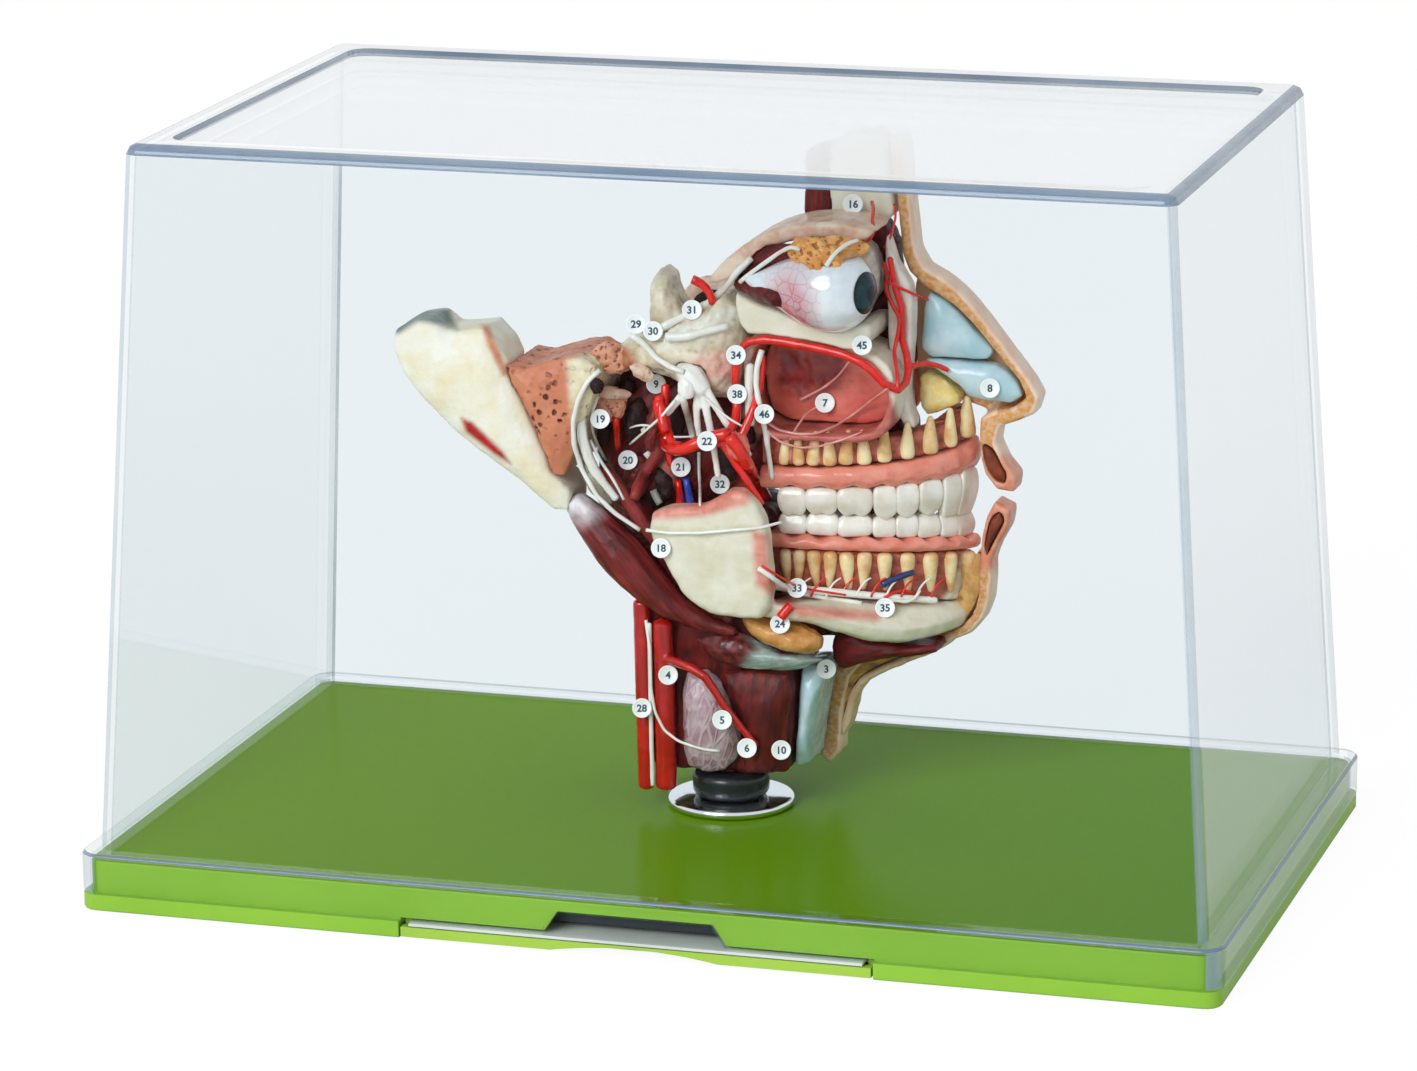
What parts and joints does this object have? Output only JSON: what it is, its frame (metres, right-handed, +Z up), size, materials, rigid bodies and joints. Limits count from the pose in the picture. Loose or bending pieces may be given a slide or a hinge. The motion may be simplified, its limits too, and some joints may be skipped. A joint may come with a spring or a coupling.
{
  "type": "anatomical head model",
  "caption": "Half-head anatomical section model on a foot disc, under a clear lift-off dust cover on a moulded base with a key-card drawer.",
  "frame": {"origin": "on the surface the base stands on, under the middle of the base", "axes": "+Z up, +X the way the face looks along the long side of the base, -Y the side the opened half of the head faces"},
  "size_m": [0.34, 0.199, 0.225],
  "materials": {
    "moss": "moulded moss green plastic, slightly glossy",
    "clear": "clear acrylic with bluish edges",
    "card": "light grey printed card",
    "chrome": "polished chrome",
    "blackened": "dark blue-black gloss",
    "skin": "painted skin tone, satin",
    "bone": "painted bone cream, satin",
    "flesh": "painted muscle red, satin",
    "dark_flesh": "painted deep red, satin",
    "gum": "painted gum pink, glossy",
    "tooth": "tooth white, glossy",
    "root": "painted root yellow, satin",
    "mucosa": "painted mucosa red, glossy",
    "artery": "artery red, glossy",
    "nerve": "nerve white, satin",
    "cartilage": "cartilage pale blue, satin",
    "fat": "painted fat yellow, satin",
    "gland": "painted gland orange, satin",
    "sclera": "eye white, glossy",
    "marrow": "painted spongy bone, satin",
    "fascia": "painted grey fascia, satin",
    "gland_pink": "painted pink gland, satin"
  },
  "bodies": {
    "base": {"base_tray": "moss", "foot_disc": "chrome", "foot_collar": "blackened", "stud": "chrome", "stud_nut": "chrome"},
    "cover": {"dust_cover": "clear"},
    "drawer": {"card_drawer": "moss", "key_card": "card"},
    "head": {"skull_core": "dark_flesh", "neck_core": "dark_flesh", "mouth_floor": "mucosa", "frontal_bone": "bone", "temporal_muscle": "flesh", "orbital_fat": "fat", "orbital_roof": "skin", "skull_base": "bone", "orbital_floor": "bone", "pterygoid_muscle": "dark_flesh", "temporal_bone": "bone", "mastoid_cells": "marrow", "maxilla": "bone", "sinus_lining": "mucosa", "nasal_process": "bone", "upper_face_skin": "skin", "lower_face_skin": "skin", "lip_muscle_upper": "flesh", "lip_muscle_lower": "flesh", "nasal_cartilage_upper": "cartilage", "nasal_cartilage_alar": "cartilage", "alar_fat": "fat", "mandible": "bone", "upper_root_bed": "root", "lower_root_bed": "root", "upper_gum": "gum", "lower_gum": "gum", "lower_teeth": "tooth", "upper_teeth": "tooth", "mylohyoid_muscle": "dark_flesh", "submandibular_gland": "gland", "thyroid_gland": "gland_pink", "infrahyoid_muscles": "flesh", "hyoid_region": "fascia", "thyroid_cartilage": "cartilage", "trigeminal_nerve": "nerve", "maxillary_artery": "artery", "external_carotid": "artery", "infraorbital_artery": "artery", "digastric_muscle": "flesh", "stylohyoid_muscle": "flesh", "internal_carotid": "artery", "vagus_nerve": "nerve", "mandibular_nerve": "nerve", "maxillary_nerve": "nerve", "facial_nerve": "nerve", "levator_muscle": "dark_flesh", "lateral_rectus": "flesh", "optic_nerve": "nerve", "lacrimal_gland": "gland", "eyeball": "sclera"}
  },
  "joints": [
    {"name": "cover_lift", "type": "slide", "parent": "base", "child": "cover", "axis": [0, 0, 1], "range_m": [0, 0.24]},
    {"name": "drawer_slide", "type": "slide", "parent": "base", "child": "drawer", "axis": [0, -1, 0], "range_m": [0, 0.12]},
    {"name": "head_swivel", "type": "hinge", "parent": "base", "child": "head", "pos_m": [-0.002, 0.004, 0.03], "axis": [0, 0, 1], "range_deg": [-25, 25]}
  ]
}
